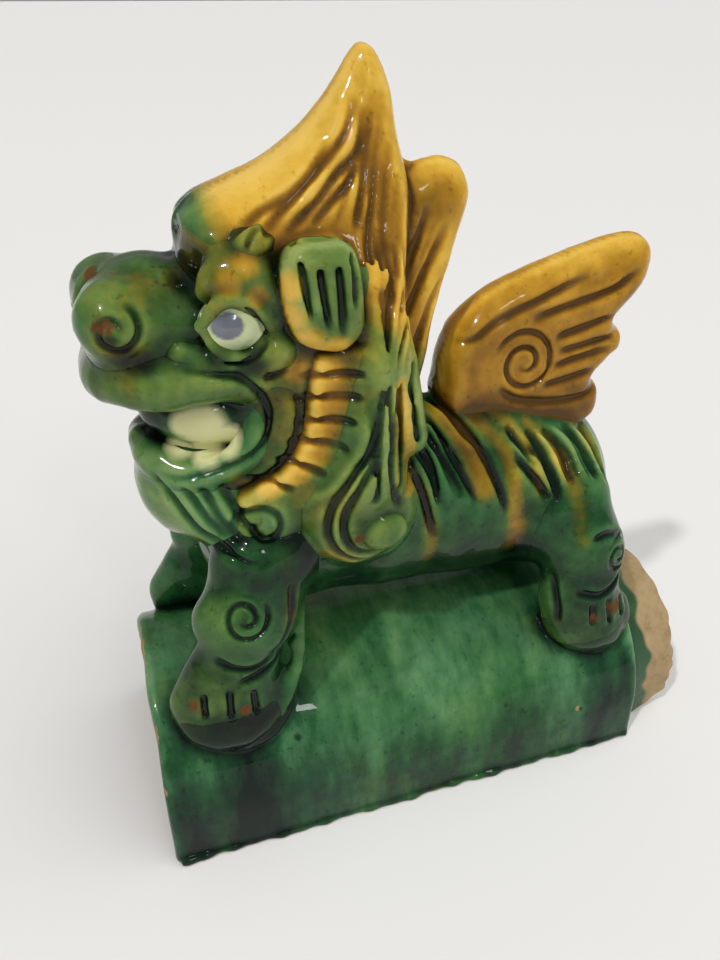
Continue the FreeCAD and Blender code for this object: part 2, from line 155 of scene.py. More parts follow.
class Leaf:
    """A plate on the y-z plane with a smooth outline; its two faces bulge in the middle.

    middle is the x of its mid-plane, thick gives half thicknesses at heights z, and the
    faces curve down over the last edge mm of the outline."""

    def __init__(self, outline, thick, middle, edge):
        self.outline = smooth_line(outline, closed=True, pieces=6)
        self.heights, self.halves = zip(*thick)
        self.middle = middle
        self.edge = edge
        reach = max(self.halves)
        self.low = (middle - reach, *self.outline.min(axis=0))
        self.high = (middle + reach, *self.outline.max(axis=0))

    def distance(self, x, y, z):
        flat = outline_distance(self.outline, y[0], z[0])[None]
        inward = np.clip(-flat / self.edge, 0.0, 1.0)
        half = np.interp(z.ravel(), self.heights, self.halves)[None, None, :]
        half = half * np.sqrt(1.0 - np.square(1.0 - inward)) * 0.999
        side = np.abs(x - self.middle) - half
        outside = np.sqrt(np.square(np.maximum(flat, 0.0)) + np.square(np.maximum(side, 0.0)))
        return np.minimum(np.maximum(flat, side * 0.8), 0.0) + outside


def outline_distance(outline, y, z):
    """Signed distance to a closed outline on the y-z plane; negative inside."""
    shape = np.broadcast_shapes(y.shape, z.shape)
    best = np.full(shape, np.float32(1e9))
    inside = np.zeros(shape, dtype=bool)
    for a, b in zip(outline, np.roll(outline, -1, axis=0)):
        along = b - a
        part = np.clip(((y - a[0]) * along[0] + (z - a[1]) * along[1]) / max(along @ along, 1e-9), 0, 1)
        gap = np.square(y - a[0] - part * along[0]) + np.square(z - a[1] - part * along[1])
        best = np.minimum(best, gap)
        if a[1] != b[1]:
            crosses = (z >= min(a[1], b[1])) & (z < max(a[1], b[1]))
            inside ^= crosses & (y < a[0] + (z - a[1]) * along[0] / along[1])
    return np.where(inside, -1.0, 1.0) * np.sqrt(best)


# ---------------- the sculpture
class Sculpture:
    """Half of the figure (x above zero) as a distance field, with its lumps kept apart."""

    def __init__(self):
        self.skin = np.full(COUNTS, FAR, dtype=np.float32)
        self.first = self.skin.copy()
        self.second = self.skin.copy()
        self.owner = np.zeros(COUNTS, dtype=np.uint8)
        self.lumps = {}
        self.names = [""]

    def add(self, name, shapes, inner, outer):
        """Add a lump; its own shapes melt over inner mm and it melts into the rest over outer."""
        low = np.min([s.low for s in shapes], axis=0) - 6.0
        high = np.max([s.high for s in shapes], axis=0) + 6.0
        where = window(low, high)
        x, y, z = axes_of(where)
        gap = None
        for shape in shapes:
            one = shape.distance(x, y, z).astype(np.float32)
            gap = one if gap is None else melt(gap, one, inner)
        self.put(name, where, gap, outer)

    def put(self, name, where, gap, outer):
        index = len(self.names)
        self.names.append(name)
        self.lumps[name] = (where, gap, index)
        self.skin[where] = melt(self.skin[where], gap, outer)
        first, second, owner = self.first[where], self.second[where], self.owner[where]
        wins = gap < first
        second[...] = np.where(wins, first, np.minimum(second, gap))
        owner[wins] = index
        first[wins] = gap[wins]

    def surface_x(self, y, z):
        """How far out the skin lies at places seen from the side."""
        row = np.clip(np.round((np.asarray(y) - LOW[1]) / STEP).astype(int), 0, COUNTS[1] - 1)
        column = np.clip(np.round((np.asarray(z) - LOW[2]) / STEP).astype(int), 0, COUNTS[2] - 1)
        solid = self.skin[:, row, column] < 0.0
        last = COUNTS[0] - 1 - np.argmax(solid[::-1], axis=0)
        return np.where(solid.any(axis=0), AXES[0][last], 0.0)

    def stroke(self, points, width, depth, fade=0.2):
        """Draw a groove (or, with a negative depth, a ridge) along points in space."""
        points = np.array(points, dtype=float)
        reach = 3.4 * width
        where = window(points.min(axis=0) - reach, points.max(axis=0) + reach)
        gap = np.full(self.skin[where].shape, np.float32(1e6))
        along = np.zeros(gap.shape, dtype=np.float32)
        lengths = np.linalg.norm(np.diff(points, axis=0), axis=1)
        travelled = np.concatenate(([0.0], np.cumsum(lengths))) / max(lengths.sum(), 1e-6)
        for i in range(len(points) - 1):
            start, way = points[i], points[i + 1] - points[i]
            low, high = np.minimum(start, points[i + 1]), np.maximum(start, points[i + 1])
            part_where = window(low - reach, high + reach)
            x, y, z = axes_of(part_where)
            part, one = near_segment(x, y, z, start, way)
            inner = tuple(slice(a.start - b.start, a.stop - b.start)
                          for a, b in zip(part_where, where))
            closer = one < gap[inner]
            gap[inner] = np.where(closer, one, gap[inner])
            spot = travelled[i] + part * (travelled[i + 1] - travelled[i])
            along[inner] = np.where(closer, spot, along[inner])
        profile = np.exp(-gap / (0.5 * width * width)) - 0.3 * np.exp(-gap / (2.2 * width * width))
        if fade:
            profile *= np.clip(np.minimum(along, 1.0 - along) / fade, 0.0, 1.0) ** 0.7
        self.skin[where] += depth * profile

    def side_stroke(self, points, width, depth, fade=0.2, sink=0.4):
        """The same, for points given as y and z and laid on the skin seen from the side."""
        line = smooth_line(points, pieces=5)
        out = self.surface_x(line[:, 0], line[:, 1])
        out = np.convolve(np.pad(out, 2, mode="edge"), np.full(5, 0.2), mode="valid")
        self.stroke(np.column_stack((out - sink, line)), width, depth, fade)


def spiral(centre, radius, turns, start, inner=0.12, squash=1.0, way=1):
    """Points of a spiral on the y-z plane, from its rim inwards; start is in degrees."""
    t = np.linspace(0.0, 1.0, int(14 * turns) + 2)
    angle = math.radians(start) + way * 2.0 * math.pi * turns * t
    r = radius * (1.0 - (1.0 - inner) * t)
    return np.column_stack((centre[0] + r * np.cos(angle), centre[1] + squash * r * np.sin(angle)))


# ---------------- lumps of the figure
TILE_HALF = 55.0
TILE_SIDE = 21.5
TILE_WALL = 11.0
TILE_LENGTH = 220.0
TONGUE_START = 194.5
TONGUE_END = 249.0
TONGUE_WALL = 10.0
TILE_DENTS = [(47, 55.3, 50, 1.9), (54.5, 188, 29, 1.5), (51.5, 150, 41, 1.1), (53.5, 92, 34, 1.0)]


def arch_distance(half, x, z):
    """Signed distance to a stilted arch of that half width, open at the bottom."""
    return np.hypot(x, np.maximum(z - TILE_SIDE, 0.0)) - half


def add_tile(clay):
    where = window((-9, -6, -3), (62, 226, 84))
    x, y, z = axes_of(where)
    wobble = 0.5 * np.sin(y * 0.052 + 1.0) * np.sin(z * 0.05 + 0.5) + 0.3 * np.sin(y * 0.11 + z * 0.07)
    outside = arch_distance(TILE_HALF, x, z) + wobble
    bore = arch_distance(TILE_HALF - TILE_WALL, x, z)
    shell = np.maximum(outside, -bore)
    ends = np.maximum(-y + 0.4 * np.sin(x * 0.21) - 0.2, y - TILE_LENGTH)
    shell = rounded_cut(shell, ends, 3.0)
    shell = rounded_cut(shell, 0.0 - z, 1.5)
    swell = np.sin(y * 0.23) * np.sin(y * 0.091 + 1.0) + 0.35 * np.sin(y * 0.61)
    beads = np.hypot(x - TILE_HALF, z - 2.0) - 1.3 - 0.8 * swell
    shell = melt(shell, np.maximum(beads, ends + 2.0), 1.6)
    clay.put("ridge_tile", where, shell.astype(np.float32), 1.0)
    for x, y, z, size in TILE_DENTS:
        clay.stroke([(x, y, z), (x, y + 0.5, z - 0.5)], size, 0.8 * size, 0)


def rounded_cut(a, b, radius):
    """Intersection of two distances with a rounded edge."""
    return np.minimum(np.maximum(a, b), -radius) + np.hypot(
        np.maximum(a + radius, 0.0), np.maximum(b + radius, 0.0))


def add_tongue(clay):
    where = window((-9, 186, -3), (56, 256, 74))
    x, y, z = axes_of(where)
    outer = TILE_HALF - TILE_WALL
    shell = np.maximum(arch_distance(outer - 0.2, x, z), -arch_distance(outer - TONGUE_WALL, x, z))
    rough = 0.8 * np.sin(x * 0.32 + 1.0) * np.sin(z * 0.17) + 0.5 * np.sin(z * 0.9 + 0.3 * x)
    shell = rounded_cut(shell, y - TONGUE_END + rough, 3.5)
    corner = (y - TONGUE_END) * 0.55 - (z - 12.0) * 0.84 + rough
    shell = np.maximum(shell, np.where(y > TILE_LENGTH, corner, -z))
    shell = np.maximum(np.maximum(shell, TONGUE_START - y), -z)
    clay.put("tile_tongue", where, shell.astype(np.float32), 0.5)


def add_body(clay):
    clay.add("torso", [
        Egg((0, 62, 128), (32, 33, 36)),
        Egg((0, 106, 134), (35, 46, 44)),
        Egg((0, 148, 130), (34, 44, 42)),
        Egg((0, 183, 122), (31, 31, 39)),
    ], 14, 3)
    clay.add("foreleg", [
        Egg((27, 50, 126), (16, 21, 20)),
        Egg((34, 40, 108), (15, 20, 18), (0, -8, 0)),
        Egg((35, 34, 86), (12, 19, 18)),
        Egg((37, 29, 73), (12, 22, 18)),
        Rope([(30, 60, 116), (34, 61, 100), (39, 59, 84), (43, 50, 64)], [4, 3, 2.5, 2.5]),
    ], 7, 7)
    clay.add("fore_paw", [
        Egg((40, 31, 66), (14, 20, 10), (0, 45, 0)),
        Rope([(34, 11, 65), (41, 18, 58), (45.5, 31, 52.5), (44.5, 44, 53), (40, 53, 59), (34, 57, 65)],
             [2, 2.3, 2.5, 2.3, 2, 1.5]),
    ] + toes((44.5, 29.5, 65), 4, 9.3), 5, 3)
    clay.add("hindleg", [
        Egg((25, 184, 120), (15, 22, 22)),
        Egg((32, 191, 104), (15, 19, 20)),
        Egg((36, 190, 84), (13, 19, 15)),
        Egg((37, 194, 70), (13, 20, 14)),
    ], 8, 7)
    clay.add("hind_paw", [
        Egg((38, 197, 66), (13, 19, 10), (0, 43, 0)),
        Rope([(30, 176, 68), (38, 181, 61), (43, 192, 56), (43, 204, 56), (38, 213, 61)],
             [1.5, 2, 2.3, 2.2, 1.5]),
    ] + toes((42, 199, 66), 4, 8.5), 5, 3)


def toes(middle, count, spread):
    """Rounded toes side by side along y, on the flank of the tile."""
    shapes = []
    for i in range(count):
        along = (i - (count - 1) / 2) * spread
        drop = 0.18 * along * along / spread
        shapes.append(Egg((middle[0] - drop, middle[1] + along, middle[2] + 1 + drop),
                          (5.2, 5.0, 8.5), (0, -30, 0)))
    return shapes


def add_skull(clay):
    clay.add("neck", [Egg((0, 72, 166), (33, 38, 26)), Egg((0, 50, 150), (28, 26, 24))], 8, 9)
    clay.add("skull", [
        Egg((0, 68, 209), (32, 38, 40)),
        Egg((0, 56, 242), (25, 19, 14)),
        Egg((9, 46, 243), (11, 9, 9)),
    ], 10, 6)


def add_mouth(clay):
    clay.add("muzzle", [
        Egg((0, 22, 222), (24, 23, 18)),
        Egg((0, 40, 219), (24, 22, 17)),
        Egg((16, 11, 224), (12.5, 12.5, 13.5)),
    ], 6, 5)
    clay.add("upper_lip", [
        Rope([(22, 55, 200), (25, 47, 204), (25, 34, 204), (22, 19, 203), (12, 7, 203), (0, 5, 203)],
             [5, 7, 8, 8.5, 8.5, 8.5]),
    ], 3, 8)
    clay.add("teeth", [Egg((0, 39, 187), (25.5, 25, 15)), Egg((17, 54, 192), (10, 10, 12))], 4, 0.8)
    clay.add("lower_jaw", [
        Rope([(23, 54, 190), (26, 50, 178), (25, 40, 170), (22, 28, 168), (12, 17.5, 171), (0, 15, 173)],
             [5, 5.5, 5.5, 5.5, 6, 6]),
        Egg((0, 38, 168), (22, 24, 9)),
    ], 3, 2.5)
    clay.add("beard", [
        Egg((0, 33, 156), (26, 24, 25)),
        Egg((17, 41, 150), (13, 18, 15)),
    ], 8, 5)


def add_eye(clay):
    clay.add("eyeball", [Egg((24, 47, 222), (9.5, 11, 9.3))], 1, 0.8)
    clay.add("cheek", [
        Egg((25, 59, 213), (10, 9, 8)),
        Rope([(24, 30, 214), (27, 40, 211), (28, 50, 210)], [3.5, 3.5, 4]),
        Rope([(29, 36, 224), (31, 40, 217), (32, 47, 213.5), (31.5, 54, 214.5), (30, 59, 220)],
             [1.1, 1.4, 1.6, 1.5, 1.1]),
    ], 3, 2.5)
    clay.add("brow", [
        Rope([(23, 40, 233), (25, 44, 237), (26, 51, 238), (27, 58, 234), (28, 62, 226)],
             [3.5, 5.5, 6.5, 6, 4]),
        Egg((23, 51, 238), (10, 12, 9)),
        Rope([(29, 36, 224), (31, 41, 231), (31.5, 48, 232.5), (31, 55, 227), (30, 60, 219)],
             [1.1, 1.7, 1.9, 1.8, 1.1]),
    ], 3, 3)
    clay.add("brow_bud", [Egg((26, 55, 247.5), (4.5, 5.5, 3.6), (0, 25, 0))], 2, 1.5)


def add_jaw_side(clay):
    clay.add("jowl", [
        Rope([(24, 57, 204), (28, 63, 193), (28, 61, 180), (26, 52, 170), (23, 40, 163)],
             [4.5, 5, 5, 4.5, 4]),
        Egg((16, 60, 186), (14, 14, 24)),
    ], 5, 2.5)
    clay.add("jaw_frill", [
        Leaf([(74, 214), (69, 205), (67, 192), (64, 180), (57, 170), (42, 160), (46, 152), (66, 150),
              (84, 164), (94, 184), (95, 212)], [(150, 11), (165, 13), (215, 13.5)], 22, 5),
    ], 3, 1.5)
    clay.add("ear", [
        Leaf([(62, 243), (66, 247.5), (74, 249), (83, 247.5), (87, 242), (88.5, 231), (88, 219),
              (82, 212), (74, 212.5), (66, 217), (62, 227), (61, 236)],
             [(210, 8), (230, 9), (252, 7.5)], 31, 6),
    ], 3, 1.2)
    clay.add("beard_curl", [Egg((27, 54, 150), (9, 13, 12))], 3, 3)


def add_tress(clay):
    clay.add("tress", [
        Rope([(16, 91, 243), (26, 93, 229), (31, 94, 212), (34, 91, 190), (36, 88, 165)],
             [2.5, 5, 7, 8.5, 11]),
        Rope([(17, 102, 240), (24, 101, 222), (27, 104, 198), (29, 107, 174)], [3, 5, 6.5, 7]),
        Egg((33, 87, 148), (10, 21, 22)),
    ], 9, 7)
    clay.add("pearl", [Egg((41, 94, 142), (5, 9, 8))], 1, 1)


def add_crest(clay):
    clay.add("crest_front", [
        Leaf([(35, 250), (41, 258), (53, 263), (65, 268), (78, 277), (88, 288), (95, 298), (99, 300.5),
              (104, 297), (108.5, 287), (110.5, 273), (113.5, 259), (112, 240), (106, 215), (88, 205),
              (60, 225), (42, 236)],
             [(200, 28), (235, 26), (255, 20), (270, 15), (285, 10), (300, 7)], 0, 10),
    ], 2, 8)
    clay.add("crest_rear", [
        Leaf([(110, 256), (116, 262), (121, 264.5), (128, 265), (134.5, 262), (138, 255), (137, 247),
              (132, 231), (126, 213), (122, 197), (117, 182), (112, 165), (95, 165), (92, 215)],
             [(160, 28), (178, 25), (205, 17), (235, 12), (255, 9), (264, 7)], 0, 8),
    ], 2, 9)
    clay.add("tail_plume", [
        Leaf([(129, 172), (129.5, 180), (131, 192), (135.5, 203.5), (145, 212.5), (156, 218.5),
              (172, 224), (193, 230), (207, 232.5), (216, 231), (221, 224), (218.5, 212),
              (209, 202), (207, 198), (211.5, 193), (211, 186), (206, 181.5), (200, 175), (204, 170),
              (204.5, 161), (199, 154), (180, 145), (150, 152), (132, 163)],
             [(140, 13), (178, 13), (205, 11), (234, 8)], 0, 9),
    ], 2, 2)


# Lines drawn on the clay, as y and z on the beast's flank: groups share a width and a depth.
CREST_LINES = [
    [(84, 274), (79, 267), (69, 259), (57, 254), (48, 248)],
    [(94, 285), (89, 275), (80, 266), (72, 259), (62, 252), (55, 246)],
    [(96, 283), (93, 271), (85, 264), (78, 257), (66, 248)],
    [(92, 267), (88, 261), (82, 256), (75, 250)],
    [(99, 282), (96, 271), (93, 259), (89, 246)],
    [(102, 281), (99, 270), (96, 256), (93, 243), (92, 229)],
    [(104, 273), (101, 259), (98, 244), (95, 229), (93, 214)],
    [(106, 264), (104, 253), (100, 239), (97, 225), (95, 210)],
    [(109, 258), (105, 245), (101, 232), (97, 218), (95, 205)],
    [(120, 251), (116, 240), (109, 225), (101, 212), (97, 200)],
    [(127, 244), (121, 233), (114, 221), (108, 208), (105, 194)],
    [(126, 226), (120, 216), (114, 203), (109, 190)],
]
PLUME_LINES = [
    [(134, 198), (142, 200), (151, 206), (168, 212), (190, 220)],
    [(166, 205), (184, 209), (201, 213), (213, 220)],
    [(176, 196), (189, 199), (203, 203)],
    [(178, 190), (192, 192), (205, 194)],
    [(176, 184), (189, 187), (203, 189)],
    [(171, 177), (181, 178), (196, 181)],
    [(152, 179), (160, 173), (172, 170), (186, 169), (200, 171)],
]
EAR_LINES = [
    [(67, 249), (67.5, 238), (69.5, 225)],
    [(72, 253), (73, 237), (75.5, 221)],
    [(77.5, 253), (79, 237), (80, 218)],
    [(82, 250), (83.5, 240), (84, 227)],
]
FRILL_LINES = [
    [(66, 204), (78, 204.5), (89, 204)],
    [(64, 196), (76, 196.5), (88, 196)],
    [(63, 188), (74, 188), (86, 187)],
    [(60, 181), (70, 180), (82, 177)],
    [(56, 175), (64, 172), (74, 167)],
    [(46, 167), (54, 166), (63, 161)],
]
FRILL_RIMS = [
    [(69, 210), (67, 194), (65, 183), (58, 172), (44, 163)],
    [(90, 208), (89, 192), (86, 180), (77, 165), (66, 156)],
]
MANE_LINES = [
    [(89, 204), (88, 181), (81, 168), (75, 156), (73, 144), (78, 133), (90, 127), (99, 131), (103, 140)],
    [(92, 200), (90, 177), (84, 166), (79, 153), (79, 142), (84, 134), (94, 132)],
    [(90, 174), (89, 157)],
    [(95, 200), (95, 177), (95, 164), (101, 150)],
    [(99, 198), (100, 177), (100, 163), (97, 156)],
    [(105, 198), (107, 184), (109, 170), (108, 157)],
]
BACK_LINES = [
    [(112, 185), (124, 165), (137, 139)],
    [(111, 180), (121, 163), (131, 143)],
    [(110, 173), (117, 159), (119, 143)],
    [(109, 157), (114, 144), (118, 128)],
    [(115, 186), (130, 171), (139, 160)],
    [(126, 176), (137, 164), (145, 148), (150, 132)],
    [(154, 165), (158, 158), (165, 152)],
    [(155, 155), (162, 146), (170, 135)],
    [(163, 162), (169, 150), (174, 134)],
    [(171, 160), (178, 152), (181, 139)],
    [(182, 159), (190, 149), (193, 137)],
    [(192, 157), (198, 146), (202, 132)],
]
BEARD_LINES = [
    [(15, 171), (22, 158), (29, 146), (38, 139), (48, 136)],
    [(24, 166), (28, 159), (32, 151), (38, 143)],
    [(30, 166), (33, 159), (36, 151), (42, 143)],
    [(37, 166), (41, 156), (45, 149), (50, 144)],
]
FACE_LINES = [
    [(28, 210), (39, 208), (47, 206), (54, 198), (56, 188), (51, 179), (40, 173), (26, 169), (16, 170)],
    [(66, 198), (64, 183), (57, 170), (45, 161)],
    [(54, 204), (63, 208)],
]
LEG_LINES = [
    [(26, 100), (33, 95.5), (42, 93), (49, 97)],
    [(33, 88), (43, 89), (53, 93), (60, 98)],
    [(58, 126), (56, 109), (48, 97)],
    [(181, 93), (192, 90), (201, 93), (207, 97)],
    [(186, 117), (195, 118), (205, 114)],
    [(174, 99), (175, 86), (176, 76)],
]
TOE_LINES = [
    [(20.5, 85), (20, 74)],
    [(30, 86), (29.5, 72)],
    [(39, 83), (39.5, 71)],
    [(189, 86), (190, 75)],
    [(197, 87), (199, 73)],
    [(206, 84), (207.5, 73)],
]

# Spirals: centre, radius, turns, start in degrees and width of the groove.
CURLS = (
    ((163.5, 187.5), 14, 1.9, 160, 1.8),
    ((39, 117), 9, 1.6, 30, 1.5),
    ((201, 106.5), 8.5, 1.8, 120, 1.3),
    ((50, 148), 10.0, 1.3, 190, 2.1),
    ((10, 225), 8.5, 1.25, 60, 1.9),
)

# The two ends of each row that the strands behind the ear pass through.
NAPE_TOP = ((88, 254), (114, 244))
NAPE_WAIST = ((93, 197), (110, 190))
NAPE_FOOT = ((84, 168), (122, 158))


def fan_line(top, waist, foot, share):
    """One strand of a bundle that is gathered at its waist, share of the way across."""
    return [tuple(a + share * (b - a) for a, b in zip(*row)) for row in (top, waist, foot)]


def between(lines, share=0.5):
    """Lines part way between neighbours of a group that have as many points."""
    fill = []
    for a, b in zip(lines, lines[1:]):
        if len(a) == len(b):
            fill.append([tuple(p + share * (q - p) for p, q in zip(*pair)) for pair in zip(a, b)])
    return fill


def carve(clay):
    """Draw the modelled lines: hair strands, feathers, ribs, folds and curls."""
    strands = [fan_line(NAPE_TOP, NAPE_WAIST, NAPE_FOOT, i / 7) for i in range(8)]
    groups = (
        (CREST_LINES, 2.4, 2.5), (strands, 2.0, 2.1), (PLUME_LINES, 2.6, 2.3), (EAR_LINES, 2.0, 3.2),
        (FRILL_LINES, 2.1, 2.8), (MANE_LINES, 2.5, 3.4), (BACK_LINES, 2.9, 2.9), (BEARD_LINES, 2.4, 2.7),
        (FACE_LINES, 2.3, 2.4), (LEG_LINES, 2.4, 2.6), (TOE_LINES, 2.1, 3.2),
        (between(BACK_LINES), 2.2, -1.3), (between(BACK_LINES, 0.28), 1.5, 1.1),
        (between(BACK_LINES, 0.72), 1.5, 1.1), (between(CREST_LINES), 1.8, 0.9),
        (between(MANE_LINES), 2.0, -1.3), (FRILL_RIMS, 2.4, -1.6),
    )
    for lines, width, depth in groups:
        for line in lines:
            clay.side_stroke(line, width, depth)
    for centre, radius, turns, start, width in CURLS:
        clay.side_stroke(spiral(centre, radius, turns, start, 0.14, 1.0, -1), width, 2.3, 0.1)
    clay.stroke([(0, 8, 238), (0, 1, 231), (0, -1, 222), (0, 0, 212)], 4.5, 4.5)
    clay.stroke([(9, -1, 219), (12, -1, 217), (15, 0, 220)], 2.4, 4.0, 0.1)
    clay.stroke([(0, 2, 205), (0, 3, 199), (0, 8, 196)], 3.5, 2.5)
    clay.side_stroke([(40, 232), (48, 232), (54, 226), (57, 219)], 1.3, 2.0, 0.1)
    clay.side_stroke([(36, 219), (42, 213), (51, 213), (57, 218)], 1.7, 2.4, 0.1)
    clay.side_stroke([(52, 246), (54, 250), (57, 252)], 1.5, 2.4)


def spread(count, cell, knots):
    """Smooth weights that stretch a coarse row of numbers, cell mm apart, over a grid axis."""
    place = np.arange(count) * STEP / cell + 1.0
    weights = np.zeros((count, knots), dtype=np.float32)
    for knot in range(knots):
        gap = np.abs(place - knot)
        inner = 2.0 / 3.0 - gap ** 2 + 0.5 * gap ** 3
        outer = np.maximum(2.0 - gap, 0.0) ** 3 / 6.0
        weights[:, knot] = np.where(gap < 1.0, inner, outer)
    return weights


def knead(clay, seed, cell, height):
    """Uneven finger-pressed swelling all over, with lumps about cell mm apart."""
    knots = [int(count * STEP / cell) + 5 for count in COUNTS]
    lumps = np.random.default_rng(seed).normal(size=knots).astype(np.float32)
    for axis in range(3):
        weights = spread(COUNTS[axis], cell, knots[axis])
        lumps = np.moveaxis(np.tensordot(weights, lumps, axes=(1, axis)), 0, axis)
    clay.skin += height * lumps


def sculpt():
    clay = Sculpture()
    add_body(clay)
    for add_part in (add_skull, add_mouth, add_eye, add_jaw_side, add_tress, add_crest):
        add_part(clay)
    carve(clay)
    knead(clay, 3, 9.0, 0.7)
    knead(clay, 4, 4.0, 0.3)
    add_tile(clay)
    add_tongue(clay)
    return clay


# ---------------- cutting out the pieces
CELL_SLOPE = 0.45
CELL_DEPTH = 2.0
MIDDLE_OVERLAP = 0.8 * STEP
LOOKS = 14


def cell_field(clay, name):
    """Distance field of one piece: the common skin over its own cell, diving beyond it."""
    where, gap, index = clay.lumps[name]
    first, second = clay.first[where], clay.second[where]
    contest = np.where(clay.owner[where] == index, first - second, gap - first)
    field = clay.skin[where] + CELL_SLOPE * np.maximum(contest, 0.0)
    return where, np.maximum(field, contest - CELL_DEPTH)


def surface_of(field, low):
    """Closed quad mesh of a field's zero level, in millimetres."""
    field = np.pad(field, 1, constant_values=FAR)
    limit = 3.0 * STEP
    grid = openvdb.FloatGrid()
    grid.background = limit
    grid.copyFromArray(np.clip(field, -limit, limit).astype(np.float32))
    grid.gridClass = openvdb.GridClass.LEVEL_SET
    points, quads = grid.convertToQuads(isovalue=0.0)
    return points * STEP + (np.asarray(low) - STEP), quads


def piece_surface(clay, name, side):
    """Mesh of a piece: side is left, right, or empty for a piece across the mid-plane."""
    where, field = cell_field(clay, name)
    low = LOW + STEP * np.array([part.start for part in where])
    if side:
        x, _, _ = axes_of(where)
        points, quads = surface_of(np.maximum(field, -MIDDLE_OVERLAP - x), low)
        if side == "right":
            points[:, 0] *= -1.0
            quads = quads[:, ::-1]
        return points, quads
    skip = MIRROR_CELLS - where[0].start
    half = field[skip:]
    whole = np.concatenate((half[:0:-1], half))
    low[0] = -STEP * (half.shape[0] - 1)
    return surface_of(whole, low)


def sample(field, points):
    """Trilinear reading of a grid at points; the right side reads its mirror image."""
    spots = np.abs(points[:, :1]), points[:, 1:]
    place = (np.concatenate(spots, axis=1) - LOW) / STEP
    base = np.clip(np.floor(place).astype(int), 0, COUNTS - 2)
    part = (place - base).astype(np.float32)
    total = 0.0
    for corner in np.ndindex(2, 2, 2):
        weight = np.prod(np.where(corner, part, 1.0 - part), axis=1)
        total = total + weight * field[tuple((base + corner).T)]
    return total


def ball_directions(count):
    """Evenly spread directions."""
    k = np.arange(count) + 0.5
    tilt = np.arccos(1.0 - 2.0 * k / count)
    turn = math.pi * (1.0 + 5.0 ** 0.5) * k
    return np.column_stack((np.cos(turn) * np.sin(tilt), np.sin(turn) * np.sin(tilt), np.cos(tilt)))


def hollowness(skin, points, radius):
    """Above zero in grooves and below it on ridges, looking radius mm around."""
    total = sum(sample(skin, points + radius * way) for way in ball_directions(LOOKS))
    return -total / (LOOKS * radius)


def add_mesh(name, points, quads):
    """A Blender mesh object from millimetre points in the sculpture's own frame."""
    mesh = bpy.data.meshes.new(name)
    mesh.vertices.add(len(points))
    mesh.loops.add(quads.size)
    mesh.polygons.add(len(quads))
    placed = points * MM + np.array((0.0, TILE_FRONT, 0.0))
    mesh.vertices.foreach_set("co", placed.astype(np.float32).ravel())
    mesh.loops.foreach_set("vertex_index", quads.astype(np.int32).ravel())
    mesh.polygons.foreach_set("loop_start", np.arange(0, quads.size, 4, dtype=np.int32))
    mesh.update(calc_edges=True)
    mesh.validate()
    mesh.shade_smooth()
    piece = bpy.data.objects.new(name, mesh)
    bpy.context.collection.objects.link(piece)
    return piece


def store(piece, name, values):
    """Keep one number per vertex for the material to read."""
    layer = piece.data.attributes.new(name, "FLOAT", "POINT")
    layer.data.foreach_set("value", np.asarray(values, dtype=np.float32))


PAIRS = ("brow", "brow_bud", "cheek", "jowl", "ear", "jaw_frill", "beard_curl", "tress", "pearl",
         "eyeball", "foreleg", "fore_paw", "hindleg", "hind_paw", "torso")
# Attributes that tell hollows: how far each looks, its least value, and its weight in the glaze.
POOLS = (("pool", 1.8, -math.inf, 0.5), ("pool_wide", 4.5, -0.22, 0.85), ("pool_deep", 10.0, -0.12, 0.7))
PUPIL_AT = (44.0, 224.5)
PUPIL_SIZE = (5.6, 4.6)


def build_pieces(clay, materials):
    slots = {row["node"]: row["material_slot"] for row in frame["record"]["subparts"]}
    for name in clay.lumps:
        for side in (("left", "right") if name in PAIRS else ("",)):
            node = f"{name}_{side}" if side else name
            points, quads = piece_surface(clay, name, side)
            piece = add_mesh(f"clay_{node}", points, quads)
            for pool, radius, least, _ in POOLS:
                store(piece, pool, np.maximum(hollowness(clay.skin, points, radius), least))
            for mask, values in paint(points, name).items():
                store(piece, mask, values)
            if name == "eyeball":
                across = np.hypot(*((points[:, 1:] - PUPIL_AT) / PUPIL_SIZE).T)
                store(piece, "pupil", 1.0 - ease(across, 0.86, 1.0))
            piece.data.materials.append(materials.get(name, materials[slots[node]]))
            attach(piece, "root")
            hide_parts(node)


# ---------------- glaze colours, with some painted shade
def ease(value, low, high):
    """Smooth step from nought at low to one at high."""
    part = np.clip((value - low) / (high - low), 0.0, 1.0)
    return part * part * (3.0 - 2.0 * part)


def spots(points, places):
    """One at each place, fading to nothing at its radius; the right side has them too."""
    folded = np.column_stack((np.abs(points[:, 0]), points[:, 1:]))
    total = np.zeros(len(points))
    for *centre, radius in places:
        gap = np.linalg.norm(folded - np.array(centre), axis=1)
        total = np.maximum(total, 1.0 - ease(gap, 0.1 * radius, radius))
    return total


def trails(points, lines):
    """One along runs of glaze drawn as y and z, fading away sideways and downwards."""
    total = np.zeros(len(points))
    for line, width, strength in lines:
        curve = smooth_line(line, pieces=5)
        gap = np.min([np.hypot(points[:, 1] - a, points[:, 2] - b) for a, b in curve], axis=0)
        total = np.maximum(total, strength * (1.0 - ease(gap, 0.0, 1.2 * width)))
    return total * ease(np.abs(points[:, 0]), 4.0, 9.0)


